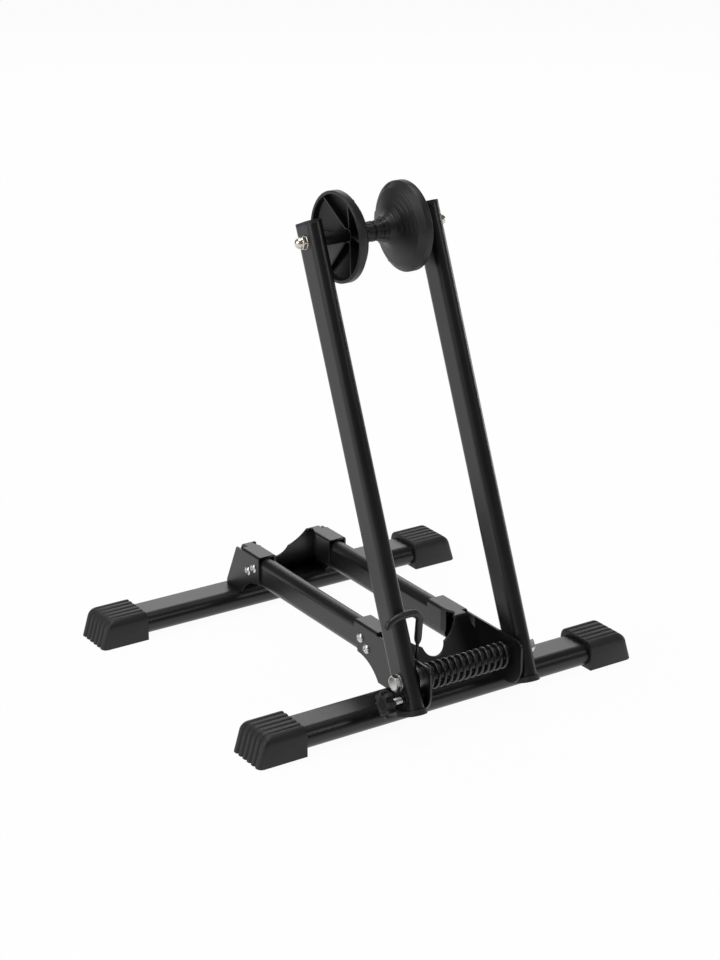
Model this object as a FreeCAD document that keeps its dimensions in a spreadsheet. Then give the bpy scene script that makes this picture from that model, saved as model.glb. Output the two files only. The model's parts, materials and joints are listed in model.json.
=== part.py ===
"""Floor rack for one bicycle, in millimetres.

The origin is on the floor under the middle of the rack. +X is across the rack, -Y is the end
with the pivot and +Z is up. The rear base tube is at +Y.
"""
import FreeCAD, Part
import math
import os

from FreeCAD import Placement, Rotation, Vector

SIZES = {
    # base tubes and feet
    "overall_width": 400,
    "front_tube_y": -121,
    "tube_spacing": 280,
    "base_tube_depth": 40,
    "base_tube_height": 20,
    "base_tube_wall": 1.5,
    "foot_length": 48,
    "foot_depth": 45,
    "foot_height": 27.3,
    "foot_floor": 2.5,
    "foot_end_wall": 14,
    "foot_end_slant": 8.3,
    "foot_top_corner": 8,
    "foot_floor_edge": 3,
    "foot_end_corner": 6,
    "foot_groove_count": 5,
    "foot_groove_pitch": 5.2,
    "foot_groove_width": 2,
    "foot_groove_depth": 1.4,
    "foot_groove_inset": 3,
    "foot_groove_bottom": 4.5,
    # rails
    "rail_offset": 39.4,
    "rail_width": 15,
    "rail_height": 30,
    "rail_wall": 1.5,
    "rail_bottom": 37.1,
    "rail_front_inset": 38.5,
    "rail_rear_inset": 22,
    # folded brackets: each place is measured from the tube that the bracket stands on
    "sheet": 2,
    "slip_gap": 0.1,
    "fold_radius": 2.5,
    "web_fold_radius": 3.5,
    "flange_bottom": 47,
    "flange_corner": 0.8,
    "plate_front": 54.6,
    "plate_front_lower_radius": 19.6,
    "plate_front_upper_radius": 7,
    "plate_front_reach": 63.5,
    "plate_rear_back": 8,
    "plate_rear_top": 11,
    "plate_rear_step": 4.5,
    "front_scoop_middle": 58,
    "front_scoop_radius": 40,
    "rear_scoop_middle": 52,
    "rear_scoop_radius": 41,
    "front_cap_start": 28,
    "rear_cap_end": 21,
    "front_flange_start": 42.3,
    "rear_flange_end": 29,
    "relief_slant": 15,
    "relief_width": 1.6,
    "relief_corner": 1.5,
    "web_foot": 6.3,
    "front_web_lean": 29,
    "rear_web_lean": 21,
    "front_web_top": 36,
    "rear_web_top": 26,
    "notch_radius": 12,
    "notch_height": 55,
    "tyre_radius": 33,
    "tyre_height": 83.5,
    "ear_outer": 42.4,
    "ear_drop": 9.2,
    "ear_slant": 1.6,
    "ear_radius": 30,
    "ear_foot": 55,
    # rivets
    "rivet_diameter": 4.8,
    "rivet_head": 9,
    "rivet_head_height": 1.9,
    "rivet_crown": 2.3,
    "rivet_dimple": 1.4,
    "rivet_dimple_depth": 0.8,
    "rivet_bulb": 0.9,
    "rivet_bulb_length": 4,
    "rivet_core": 0.6,
    "front_rivet_upper_y": 53.6,
    "front_rivet_upper_z": 54.9,
    "front_rivet_lower_y": 43.8,
    "front_rivet_lower_z": 47.9,
    "rear_rivet_upper_y": 42.7,
    "rear_rivet_upper_z": 55.7,
    "rear_rivet_lower_y": 32.2,
    "rear_rivet_lower_z": 49.5,
    # uprights
    "upright_width": 15,
    "upright_depth": 30,
    "upright_wall": 1.5,
    "upright_lean": 22.13,
    "upright_gap": 3.5,
    "pivot_inset": 33.2,
    "pivot_height": 51.3,
    "pivot_to_bottom": 30,
    "pivot_to_top": 398.6,
    "top_to_axle": 17,
    "pivot_to_lock": 15,
    "plug_flange": 5,
    "plug_overhang": 1.5,
    "plug_cap": 2.5,
    "plug_depth": 5,
    # pivot
    "pivot_diameter": 8,
    "running_gap": 0.05,
    "hex_width": 13,
    "bolt_head": 5.3,
    "bolt_end": 2,
    "nut_height": 6.5,
    "flange_thickness": 1.4,
    "flange_diameter": 16,
    "washer_diameter": 24,
    "spacer_diameter": 13,
    # torsion spring and its sleeve
    "wire_diameter": 3,
    "coil_radius": 10.4,
    "coil_turns": 13,
    "coil_start": 44,
    "coil_end": -42,
    "leg_height": 58.5,
    "leg_offset": 42.8,
    "leg_lead": 12,
    "anchor_drop": 18,
    "anchor_lead": 8,
    "anchor_bend": 3,
    "anchor_end": 1,
    "hook_bend": 9,
    "hook_arc": 20,
    "hook_tip_bend": 7,
    "hook_gap": 0.3,
    "sleeve_diameter": 6.6,
    "sleeve_start": 29,
    # lock screw and knob
    "lock_diameter": 6,
    "lock_tip_gap": 0.3,
    "lock_hole_gap": 0.3,
    "knob_diameter": 24,
    "knob_length": 9,
    "knob_standoff": 11.5,
    "knob_bore": 6,
    "knob_lobes": 8,
    "knob_slot": 4.2,
    "knob_slot_depth": 4,
    "insert_flange": 12,
    "insert_flange_thickness": 1,
    "insert_wall": 1.5,
    "insert_length": 9.5,
    # rollers
    "roller_diameter": 80,
    "roller_outside": 37.2,
    "roller_neck": 16.6,
    "roller_neck_length": 2.1,
    "roller_flare": 18.7,
    "roller_slope": 68,
    "roller_shoulder": 3,
    "roller_wall": 3,
    "roller_rib": 2.2,
    "roller_rib_turn": 47.1,
    "roller_rib_inset": 1.5,
    "roller_hub": 13,
    "roller_hub_inset": 11.7,
    "roller_gap": 0.4,
    "roller_spacer": 11,
    "axle_diameter": 8,
    "axle_reach": 6.5,
    "cap_nut_width": 13,
    "cap_nut_hex": 5,
    "cap_nut_length": 9.6,
    "cap_nut_chamfer": 0.6,
}

# How far a cut runs past what it cuts.
SPARE = 5

doc = FreeCAD.newDocument("BikeRack")
sheet = doc.addObject("Spreadsheet::Sheet", "Sizes")
for row, (alias, number) in enumerate(SIZES.items(), start=1):
    sheet.set(f"A{row}", str(number))
    sheet.setAlias(f"A{row}", alias)
doc.recompute()


def size(alias):
    """The value of one cell of the sheet."""
    return float(getattr(sheet, alias))


# Places that several pieces share, worked out from the sheet.
tube_middle = size("foot_floor") + size("base_tube_height") / 2
tube_top = size("foot_floor") + size("base_tube_height")
front_y = size("front_tube_y")
rear_y = front_y + size("tube_spacing")
channel_outer = size("rail_offset") + size("rail_width") / 2 + size("slip_gap")
channel_inner = size("rail_offset") - size("rail_width") / 2 - size("slip_gap")
plate_outer = channel_outer + size("sheet")
flange_inner = channel_inner - size("sheet")
rail_top = size("rail_bottom") + size("rail_height")
cap_under = rail_top + size("slip_gap")
cap_top = cap_under + size("sheet")
plate_top = cap_top - size("fold_radius")
upright_inner = plate_outer + size("upright_gap")
upright_outer = upright_inner + size("upright_width")
upright_middle = (upright_inner + upright_outer) / 2
pivot_y = front_y - size("pivot_inset")
pivot_z = size("pivot_height")
lean = math.radians(size("upright_lean"))
wire_hole = size("wire_diameter") / 2 + size("running_gap")
axle_hole = size("axle_diameter") / 2 + size("running_gap")
pivot_hole_radius = size("pivot_diameter") / 2 + size("running_gap")
rivet_hole_radius = size("rivet_diameter") / 2 + size("running_gap")
lock_hole_radius = size("lock_diameter") / 2 + size("running_gap")
insert_radius = size("lock_diameter") / 2 + size("insert_wall")
roller_hub_end = size("roller_outside") - size("roller_hub_inset")
# The coil hangs on its spacer tube, so its axis lies this far below the pivot's.
coil_sag = (2 * size("coil_radius") - size("wire_diameter") - size("spacer_diameter")) / 2 \
    - size("running_gap")

# The same places as expressions of the sheet.
FRONT_TUBE_Y = "Sizes.front_tube_y"
REAR_TUBE_Y = "Sizes.front_tube_y + Sizes.tube_spacing"
PIVOT_Y = "Sizes.front_tube_y - Sizes.pivot_inset"
PIVOT_Z = "Sizes.pivot_height"
COIL_Z = "Sizes.pivot_height - (2 * Sizes.coil_radius - Sizes.wire_diameter" \
    " - Sizes.spacer_diameter) / 2 + Sizes.running_gap"
AXLE_UP = "Sizes.pivot_to_top - Sizes.top_to_axle"
CHANNEL_OUTER = "Sizes.rail_offset + Sizes.rail_width / 2 + Sizes.slip_gap"
PLATE_OUTER = f"{CHANNEL_OUTER} + Sizes.sheet"
UPRIGHT_INNER = f"{PLATE_OUTER} + Sizes.upright_gap"
UPRIGHT_OUTER = f"{UPRIGHT_INNER} + Sizes.upright_width"


# ---------------------------------------------------------------- drawing helpers

def corner_arc(before, point, after, radius):
    """Start, middle and end of the arc that rounds one corner of an outline."""
    to_before = (before - point).normalize()
    to_after = (after - point).normalize()
    half = to_before.getAngle(to_after) / 2
    reach = radius / math.tan(half)
    inward = (to_before + to_after).normalize()
    middle = point + inward * (radius / math.sin(half) - radius)
    return point + to_before * reach, middle, point + to_after * reach


def outline(corners, arcs=None):
    """A closed outline: corners are (u, v) or (u, v, radius). Where arcs has a corner's number,
    the edge that leaves that corner is an arc through the point given there."""
    arcs = arcs or {}
    points = [Vector(c[0], c[1], 0) for c in corners]
    radii = [c[2] if len(c) > 2 else 0 for c in corners]
    count = len(points)
    starts, ends, shapes = [], [], []
    for i, point in enumerate(points):
        if radii[i]:
            start, middle, end = corner_arc(points[i - 1], point, points[(i + 1) % count], radii[i])
            shapes.append(Part.Arc(start, middle, end))
        else:
            start = end = point
        starts.append(start)
        ends.append(end)
    for i in range(count):
        far = starts[(i + 1) % count]
        if i in arcs:
            shapes.append(Part.Arc(ends[i], Vector(*arcs[i], 0), far))
        elif ends[i].distanceToPoint(far) > 1e-4:
            shapes.append(Part.LineSegment(ends[i], far))
    return shapes


def ring_point(middle, radius, degrees):
    angle = math.radians(degrees)
    return middle[0] + radius * math.cos(angle), middle[1] + radius * math.sin(angle)


def circle(u, v, radius):
    return Part.Circle(Vector(u, v, 0), Vector(0, 0, 1), radius)


def slot(length, height, u=0, v=0):
    """A flat-oval outline, its long way along the sketch's first axis."""
    half = (length - height) / 2
    radius = height / 2
    return outline(
        [(u - half, v - radius), (u + half, v - radius), (u + half, v + radius), (u - half, v + radius)],
        {1: (u + half + radius, v), 3: (u - half - radius, v)},
    )


def tall_slot(width, height, u=0, v=0):
    """A flat-oval outline, its long way along the sketch's second axis."""
    half = (height - width) / 2
    radius = width / 2
    return outline(
        [(u + radius, v - half), (u + radius, v + half), (u - radius, v + half), (u - radius, v - half)],
        {1: (u, v + half + radius), 3: (u, v - half - radius)},
    )


PLANES = {"across": "YZ_Plane", "along": "XZ_Plane", "flat": "XY_Plane"}


def new_body(label):
    body = doc.addObject("PartDesign::Body", label)
    body.Label = label
    return body


def sketch(body, plane, shapes, offset=None):
    """A sketch on one of the body's own planes: across (u = Y, v = Z), along (u = X, v = Z) or
    flat (u = X, v = Y). offset is an expression for its place on the third axis."""
    drawing = body.newObject("Sketcher::SketchObject", "Sketch")
    origin_plane = [f for f in body.Origin.OriginFeatures if f.Role == PLANES[plane]][0]
    drawing.AttachmentSupport = (origin_plane, [""])
    drawing.MapMode = "FlatFace"
    drawing.addGeometry(shapes, False)
    if offset is not None:
        sign = "-" if plane == "along" else ""
        drawing.setExpression("AttachmentOffset.Base.z", f"{sign}({offset})")
    return drawing


def extrude(body, kind, plane, shapes, length, offset=None, both_ways=False):
    """A Pad or Pocket towards +X, +Y or +Z from its sketch, or both ways about it."""
    drawing = sketch(body, plane, shapes, offset)
    feature = body.newObject("PartDesign::" + kind, kind)
    feature.Profile = drawing
    feature.setExpression("Length", length)
    feature.Midplane = both_ways
    feature.Reversed = (plane == "along") != (kind == "Pocket")
    return feature


def pad(body, plane, shapes, length, offset=None, both_ways=False):
    return extrude(body, "Pad", plane, shapes, length, offset, both_ways)


def pocket(body, plane, shapes, length, offset=None, both_ways=False):
    return extrude(body, "Pocket", plane, shapes, length, offset, both_ways)


def revolve(body, kind, shapes, degrees=360):
    """A Revolution or Groove about X of shapes drawn with u = X and v = Z."""
    drawing = sketch(body, "along", shapes)
    feature = body.newObject("PartDesign::" + kind, kind)
    feature.Profile = drawing
    feature.ReferenceAxis = (drawing, ["H_Axis"])
    feature.Angle = degrees
    return feature


def mirror(body, originals):
    """Copies the features to the other side of the rack's middle plane."""
    feature = body.newObject("PartDesign::Mirrored", "Mirrored")
    feature.Originals = originals
    middle = [f for f in body.Origin.OriginFeatures if f.Role == "YZ_Plane"][0]
    feature.MirrorPlane = (middle, [""])
    body.Tip = feature
    return feature


def place(part, x="0", y="0", z="0", leaning=False):
    """Puts a piece in the rack, leaning with the uprights where it belongs to them."""
    angle = size("upright_lean") if leaning else 0
    part.Placement = Placement(Vector(), Rotation(Vector(-1, 0, 0), angle))
    part.setExpression("Placement.Base.x", x)
    part.setExpression("Placement.Base.y", y)
    part.setExpression("Placement.Base.z", z)
    if leaning:
        part.setExpression("Placement.Rotation.Angle", "Sizes.upright_lean")
    return part


def on_upright(part, along="0"):
    """Puts a piece onto the leaning uprights, its own origin that far above the pivot."""
    y = f"{PIVOT_Y} + ({along}) * sin(Sizes.upright_lean)"
    z = f"{PIVOT_Z} + ({along}) * cos(Sizes.upright_lean)"
    return place(part, "0", y, z, leaning=True)


def about_pivot(part):
    return place(part, "0", PIVOT_Y, PIVOT_Z)


def add_feature(label, shape):
    part = doc.addObject("Part::Feature", label)
    part.Label = label
    part.Shape = shape
    return part


# ---------------------------------------------------------------- base tubes, feet and rails

def base_tube(label, y):
    body = new_body(label)
    depth, height, wall = size("base_tube_depth"), size("base_tube_height"), size("base_tube_wall")
    length = "Sizes.overall_width - 2 * Sizes.foot_end_wall"
    pad(body, "across", slot(depth, height), length, both_ways=True)
    bore = slot(depth - 2 * wall, height - 2 * wall)
    pocket(body, "across", bore, "Sizes.overall_width", both_ways=True)
    return place(body, "0", y, "Sizes.foot_floor + Sizes.base_tube_height / 2")


def foot(label, y, side):
    """A ribbed foot pushed over a tube end, drawn for the right and turned for the left."""
    body = new_body(label)
    half, top = size("foot_depth") / 2, size("foot_height")
    corner, edge = size("foot_top_corner"), size("foot_floor_edge")
    section = outline([(-half, 0, edge), (half, 0, edge), (half, top, corner), (-half, top, corner)])
    inside = size("overall_width") / 2 - size("foot_length")
    outside = size("overall_width") / 2
    pad(body, "across", section, "Sizes.foot_length", "Sizes.overall_width / 2 - Sizes.foot_length")
    slant = size("foot_end_slant")
    end_cut = outline([
        (outside, 0), (outside + SPARE, 0), (outside + SPARE, top + SPARE),
        (inside + SPARE, top + SPARE), (inside + SPARE, top),
        (outside - slant, top, size("foot_end_corner")),
    ])
    pocket(body, "along", end_cut, "Sizes.foot_depth * 2", both_ways=True)
    grooves(body, inside, outside, top, slant)
    depth = size("base_tube_depth") + 2 * size("slip_gap")
    height = size("base_tube_height") + 2 * size("slip_gap")
    bore = slot(depth, height, 0, tube_middle)
    reach = "Sizes.foot_length - Sizes.foot_end_wall + Sizes.slip_gap"
    pocket(body, "across", bore, reach, "Sizes.overall_width / 2 - Sizes.foot_length")
    body.Placement = Placement(Vector(0, 0, 0), Rotation(Vector(0, 0, 1), 0 if side > 0 else 180))
    body.setExpression("Placement.Base.y", y)
    return body


def grooves(body, inside, outside, top, slant):
    """Grooves along the top of the foot and down its slanted end."""
    deep, low = size("foot_groove_depth"), size("foot_groove_bottom")
    start = inside + size("foot_groove_inset")
    drift = slant * low / top
    cutter = outline([
        (start, top + SPARE), (start, top - deep),
        (outside - slant - deep, top - deep, size("foot_end_corner") - deep),
        (outside - drift - deep, low), (outside + SPARE, low), (outside + SPARE, top + SPARE),
    ])
    first = "-(Sizes.foot_groove_count - 1) / 2 * Sizes.foot_groove_pitch"
    groove = pocket(body, "along", cutter, "Sizes.foot_groove_width", first, both_ways=True)
    pattern = body.newObject("PartDesign::LinearPattern", "Grooves")
    pattern.Originals = [groove]
    across = [f for f in body.Origin.OriginFeatures if f.Role == "Y_Axis"][0]
    pattern.Direction = (across, [""])
    pattern.Mode = "Spacing"
    pattern.setExpression("Offset", "Sizes.foot_groove_pitch")
    pattern.setExpression("Occurrences", "Sizes.foot_groove_count")
    body.Tip = pattern


def rail(label, side):
    body = new_body(label)
    width, height, wall = size("rail_width"), size("rail_height"), size("rail_wall")
    start = "Sizes.front_tube_y + Sizes.rail_front_inset"
    length = "Sizes.tube_spacing - Sizes.rail_front_inset - Sizes.rail_rear_inset"
    middle = size("rail_bottom") + height / 2
    pad(body, "along", tall_slot(width, height, 0, middle), length, start)
    bore = tall_slot(width - 2 * wall, height - 2 * wall, 0, middle)
    pocket(body, "along", bore, "Sizes.tube_spacing * 3", both_ways=True)
    holes = [circle(y, z, rivet_hole_radius) for y, z in FRONT_RIVETS + REAR_RIVETS]
    reach = "Sizes.rail_width / 2"
    pocket(body, "across", holes, reach, "0" if side > 0 else "-Sizes.rail_width / 2")
    return place(body, f"{side} * Sizes.rail_offset")


# ---------------------------------------------------------------- folded brackets

# Rivet centres (y, z): two through each end of each rail.
FRONT_RIVETS = [
    (front_y + size(f"front_rivet_{row}_y"), size(f"front_rivet_{row}_z")) for row in ("upper", "lower")
]
REAR_RIVETS = [
    (rear_y - size(f"rear_rivet_{row}_y"), size(f"rear_rivet_{row}_z")) for row in ("upper", "lower")
]


def folded_strip(points, radius, thick):
    """The section of a folded sheet: its outside runs through the points, the sheet lies to the
    right of that way, and radius rounds the outside of each fold."""
    path = [Vector(u, v, 0) for u, v in points]
    steps = [(b - a).normalize() for a, b in zip(path, path[1:])]
    normals = [Vector(s.y, -s.x, 0) for s in steps]
    inside = [path[0] + normals[0] * thick]
    for before, after, corner in zip(normals, normals[1:], path[1:]):
        bisector = before + after
        inside.append(corner + bisector * (2 * thick / bisector.Length ** 2))
    inside.append(path[-1] + normals[-1] * thick)
    turns = [s1.x * s2.y - s1.y * s2.x for s1, s2 in zip(steps, steps[1:])]
    outer_radii = [radius if t < 0 else radius - thick for t in turns]
    inner_radii = [radius - thick if t < 0 else radius for t in turns]
    way_out = [(p.x, p.y, r) for p, r in zip(path, [0] + outer_radii + [0])]
    way_back = [(p.x, p.y, r) for p, r in zip(inside, [0] + inner_radii + [0])]
    return outline(way_out + way_back[::-1])


def web_cut():
    """What the web is cut back to, seen from the front: the keyhole for the tyre between two
    ears. Half of it is drawn, then its other half."""
    notch, notch_z = size("notch_radius"), size("notch_height")
    tyre, tyre_z = size("tyre_radius"), size("tyre_height")
    rise = (notch ** 2 - tyre ** 2 - notch_z ** 2 + tyre_z ** 2) / (2 * (tyre_z - notch_z))
    shoulder = math.sqrt(notch ** 2 - (rise - notch_z) ** 2)
    lip = math.sqrt(tyre ** 2 - (tyre_z - cap_top) ** 2)
    middle = math.degrees(math.atan2(cap_top - tyre_z, lip))
    join = math.degrees(math.atan2(rise - tyre_z, shoulder))
    side = ring_point((0, tyre_z), tyre, (middle + join) / 2)
    over = cap_top + SPARE
    return outline(
        [(-lip, over), (-lip, cap_top), (-shoulder, rise), (shoulder, rise), (lip, cap_top), (lip, over)],
        {1: (-side[0], side[1]), 2: (0, notch_z - notch), 3: side},
    )


def ear_cut():
    """What is cut away between the web's ear and the side plate, on the right."""
    ear, drop = size("ear_outer"), size("ear_drop")
    return outline([
        (ear, cap_top + SPARE), (ear, cap_top), (ear + size("ear_slant"), cap_top - drop, size("ear_radius")),
        (channel_outer, size("ear_foot")), (channel_outer, plate_top), (plate_outer, plate_top),
        (plate_outer, cap_top + SPARE),
    ])


def cap_section():
    """Across the rack: the cap over a rail, with its inner flange and the top of the plate."""
    bend, corner = size("fold_radius"), size("flange_corner")
    inner_bend = bend - size("sheet")
    low = plate_top - size("sheet")
    return outline([
        (plate_outer, low), (plate_outer, cap_top, bend), (flange_inner, cap_top, bend),
        (flange_inner, size("flange_bottom"), corner), (channel_inner, size("flange_bottom"), corner),
        (channel_inner, cap_under, inner_bend), (channel_outer, cap_under, inner_bend),
        (channel_outer, low),
    ])


def bracket(label, plate, plate_arcs, cap_start, cap_length, web, relief, side_cuts, right_cuts=()):
    """One folded bracket: the web across the rack, then a side plate and cap on each side.
    relief opens the cap beside the web, side_cuts go through both side plates and right_cuts
    through the right one only."""
    body = new_body(label)
    section = folded_strip(web, size("web_fold_radius"), size("sheet"))
    pad(body, "across", section, f"2 * ({CHANNEL_OUTER}) + Sizes.sheet", both_ways=True)
    wide = 2 * plate_outer
    below = outline([(-wide, 0), (wide, 0), (wide, tube_top), (-wide, tube_top)])
    for cut in (below, web_cut()):
        pocket(body, "along", cut, "Sizes.tube_spacing * 3", both_ways=True)
    ear = pocket(body, "along", ear_cut(), "Sizes.tube_spacing * 3", both_ways=True)
    mirror(body, [ear])
    side = pad(body, "across", outline(plate, plate_arcs), "Sizes.sheet", CHANNEL_OUTER)
    cap = pad(body, "along", cap_section(), cap_length, cap_start)
    mirror(body, [side, cap])
    mirror(body, [pocket(body, "flat", relief, "Sizes.rail_height * 2", "Sizes.flange_bottom - 2")])
    through = [pocket(body, "across", cut, "Sizes.rail_width", f"{CHANNEL_OUTER} - 2") for cut in side_cuts]
    mirror(body, through)
    for cut in right_cuts:
        body.Tip = pocket(body, "across", cut, "Sizes.rail_width", f"{CHANNEL_OUTER} - 2")
    return place(body)


def inner_relief(flange_end, web_end):
    """Seen from above: the strip of the right cap and flange that is open beside the web."""
    way = 1 if flange_end > web_end else -1
    slant, width, corner = size("relief_slant"), size("relief_width"), size("relief_corner")
    outside = flange_inner - SPARE
    return outline([
        (outside, flange_end), (flange_inner, flange_end),
        (flange_inner + 3 * width, flange_end - way * slant, corner),
        (flange_inner + width, web_end), (outside, web_end),
    ])


def scoop(y, middle, radius, way):
    """The round cut under a bracket: where it leaves the tube's top, and its arc's middle."""
    end = middle - way * math.sqrt(radius ** 2 - tube_top ** 2)
    turn = math.degrees(math.atan2(tube_top, end - middle))
    return y + end, ring_point((y + middle, 0), radius, (90 + turn) / 2)


def front_bracket():
    y = front_y
    middle, radius = size("front_scoop_middle"), size("front_scoop_radius")
    arc_end, arc_middle = scoop(y, middle, radius, 1)
    front = y - size("plate_front")
    plate = [
        (arc_end, tube_top), (front, tube_top, size("plate_front_lower_radius")),
        (front, plate_top, size("plate_front_upper_radius")),
        (y + size("plate_front_reach"), plate_top), (y + middle, radius),
    ]
    shift = math.tan(math.radians(size("front_web_lean")))
    foot_y = y - size("web_foot")
    fold_y = foot_y + shift * (cap_top - tube_top)
    web_top = y + size("front_web_top")
    web = [(foot_y - SPARE * shift, tube_top - SPARE), (fold_y, cap_top), (web_top, cap_top)]
    relief = inner_relief(y + size("front_flange_start"), fold_y + size("web_fold_radius"))
    pivot_hole = [circle(pivot_y, pivot_z, pivot_hole_radius)]
    anchor_z = pivot_z - coil_sag - size("anchor_drop")
    anchor_hole = [circle(pivot_y + size("coil_radius"), anchor_z, wire_hole)]
    rivet_holes = [circle(u, v, rivet_hole_radius) for u, v in FRONT_RIVETS]
    return bracket(
        "front_bracket", plate, {4: arc_middle}, "Sizes.front_tube_y + Sizes.front_cap_start",
        "Sizes.plate_front_reach - Sizes.front_cap_start", web, relief,
        [pivot_hole, rivet_holes], [anchor_hole],
    )


def rear_bracket():
    y = rear_y
    middle, radius = -size("rear_scoop_middle"), size("rear_scoop_radius")
    arc_end, arc_middle = scoop(y, middle, radius, -1)
    back = y + size("plate_rear_back")
    plate = [
        (arc_end, tube_top), (y + middle, radius), (y + middle, plate_top),
        (y - size("plate_rear_top"), plate_top),
        (back, tube_top + size("plate_rear_step"), size("fold_radius")), (back, tube_top),
    ]
    shift = math.tan(math.radians(size("rear_web_lean")))
    foot_y = y + size("web_foot")
    fold_y = foot_y - shift * (cap_top - tube_top)
    web_top = y - size("rear_web_top")
    web = [(web_top, cap_top), (fold_y, cap_top), (foot_y + SPARE * shift, tube_top - SPARE)]
    relief = inner_relief(y - size("rear_flange_end"), fold_y - size("web_fold_radius"))
    rivet_holes = [circle(u, v, rivet_hole_radius) for u, v in REAR_RIVETS]
    return bracket(
        "rear_bracket", plate, {0: arc_middle}, f"{REAR_TUBE_Y} - Sizes.rear_scoop_middle",
        "Sizes.rear_scoop_middle - Sizes.rear_cap_end", web, relief, [rivet_holes],
    )


def turned(profile):
    """A solid turned about X from an outline with u = X and v = distance from the axis."""
    edges = [shape.toShape() for shape in outline(profile)]
    face = Part.Face(Part.Wire(Part.__sortEdges__(edges)))
    return face.revolve(Vector(), Vector(1, 0, 0), 360)


def both_sides(solid):
    return [solid, solid.mirror(Vector(), Vector(1, 0, 0))]


def rivets(label, centres):
    """Blind rivets through the side plates and the rails' outer walls, heads outside."""
    shank, head, core = size("rivet_diameter") / 2, size("rivet_head") / 2, size("rivet_core")
    wall = size("rail_offset") + size("rail_width") / 2 - size("rail_wall")
    tail, bulb = wall - size("rivet_bulb_length"), shank + size("rivet_bulb")
    top = plate_outer + size("rivet_head_height")
    rivet = turned([
        (tail, core), (tail, bulb), (wall, bulb), (wall, shank), (plate_outer, shank),
        (plate_outer, head), ((plate_outer + top) / 2, head), (top, size("rivet_crown")),
        (top, size("rivet_dimple")), (top - size("rivet_dimple_depth"), core),
    ])
    solids = []
    for y, z in centres:
        for solid in both_sides(rivet):
            solids.append(solid.translated(Vector(0, y, z)))
    return add_feature(label, Part.makeCompound(solids))


# ---------------------------------------------------------------- uprights and their plugs

def upright_section(side, grow=0):
    return tall_slot(
        size("upright_width") + 2 * grow, size("upright_depth") + 2 * grow, side * upright_middle, 0)


def upright(label, side):
    """A flat-oval tube along +Z from the pivot, with its cross holes."""
    body = new_body(label)
    start = "Sizes.plug_flange - Sizes.pivot_to_bottom"
    length = "Sizes.pivot_to_top - Sizes.plug_cap + Sizes.pivot_to_bottom - Sizes.plug_flange"
    pad(body, "flat", upright_section(side), length, start)
    pocket(body, "flat", upright_section(side, -size("upright_wall")), "Sizes.pivot_to_top * 3", both_ways=True)
    axle_up = size("pivot_to_top") - size("top_to_axle")
    cross = [circle(0, 0, pivot_hole_radius), circle(0, axle_up, axle_hole)]
    pocket(body, "across", cross, "Sizes.overall_width", both_ways=True)
    if side < 0:
        middle = f"{UPRIGHT_INNER} + Sizes.upright_width / 2"
        inner_hole = [circle(0, -size("pivot_to_lock"), size("lock_diameter") / 2 + size("lock_hole_gap"))]
        pocket(body, "across", inner_hole, "Sizes.upright_width", f"-({middle})")
        insert_hole = [circle(0, -size("pivot_to_lock"), insert_radius + size("running_gap"))]
        pocket(body, "across", insert_hole, "Sizes.upright_width", f"-({middle}) - Sizes.upright_width")
    return on_upright(body)


def plug(label, side, top):
    """A plastic end plug: a cap or flange outside, a short shank inside the tube."""
    body = new_body(label)
    shank = upright_section(side, -size("upright_wall") - size("slip_gap"))
    if top:
        start, thick = "Sizes.pivot_to_top - Sizes.plug_cap", "Sizes.plug_cap"
        pad(body, "flat", upright_section(side), thick, start)
        pad(body, "flat", shank, "Sizes.plug_depth + Sizes.plug_cap / 2", f"{start} - Sizes.plug_depth")
    else:
        pad(body, "flat", upright_section(side, size("plug_overhang")), "Sizes.plug_flange",
            "-Sizes.pivot_to_bottom")
        pad(body, "flat", shank, "Sizes.plug_depth + Sizes.plug_flange / 2",
            "Sizes.plug_flange / 2 - Sizes.pivot_to_bottom")
    return on_upright(body)


# ---------------------------------------------------------------- pivot, axle and their nuts

def hexagon(width):
    across = width / math.sqrt(3)
    corners = [ring_point((0, 0), across, 60 * i) for i in range(6)]
    return outline(corners)


def hex_piece(label, parts, bore=None, dome=None):
    """A bolt or nut on the X axis: parts are (kind, size, start, length), then a bore."""
    body = new_body(label)
    for kind, width, start, length in parts:
        shapes = hexagon(width) if kind == "hex" else [circle(0, 0, width / 2)]
        pad(body, "across", shapes, str(length), str(start))
    if dome:
        revolve(body, "Revolution", dome)
    if bore:
        radius, start, length = bore
        body.Tip = pocket(body, "across", [circle(0, 0, radius)], str(length), str(start))
    return body


def pivot_bolt():
    head, flange = size("bolt_head"), size("flange_thickness")
    reach = 2 * upright_outer + size("nut_height") + size("bolt_end")
    return on_upright(hex_piece("pivot_bolt", [
        ("hex", size("hex_width"), -upright_outer - head, head),
        ("round", size("flange_diameter"), -upright_outer - flange, flange),
        ("round", size("pivot_diameter"), -upright_outer - head / 2, reach + head / 2),
    ]))


def pivot_nut():
    flange, nut = size("flange_thickness"), size("nut_height")
    return on_upright(hex_piece("pivot_nut", [
        ("hex", size("hex_width"), upright_outer, nut),
        ("round", size("flange_diameter"), upright_outer, flange),
    ], (pivot_hole_radius, upright_outer - 1, nut + 2)))


def pivot_tube():
    """The spacer between the side plates that carries the coil."""
    body = new_body("pivot_tube")
    ring = [circle(0, 0, size("spacer_diameter") / 2), circle(0, 0, pivot_hole_radius)]
    pad(body, "across", ring, f"2 * ({CHANNEL_OUTER})", both_ways=True)
    return about_pivot(body)


def pivot_washers():
    body = new_body("pivot_washers")
    ring = [circle(0, 0, size("washer_diameter") / 2), circle(0, 0, pivot_hole_radius)]
    washer = pad(body, "across", ring, "Sizes.upright_gap - Sizes.slip_gap", PLATE_OUTER)
    mirror(body, [washer])
    return about_pivot(body)


def roller_axle():
    body = new_body("roller_axle")
    rod = [circle(0, 0, size("axle_diameter") / 2)]
    pad(body, "across", rod, f"2 * ({UPRIGHT_OUTER} + Sizes.axle_reach)", both_ways=True)
    return on_upright(body, AXLE_UP)


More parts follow.
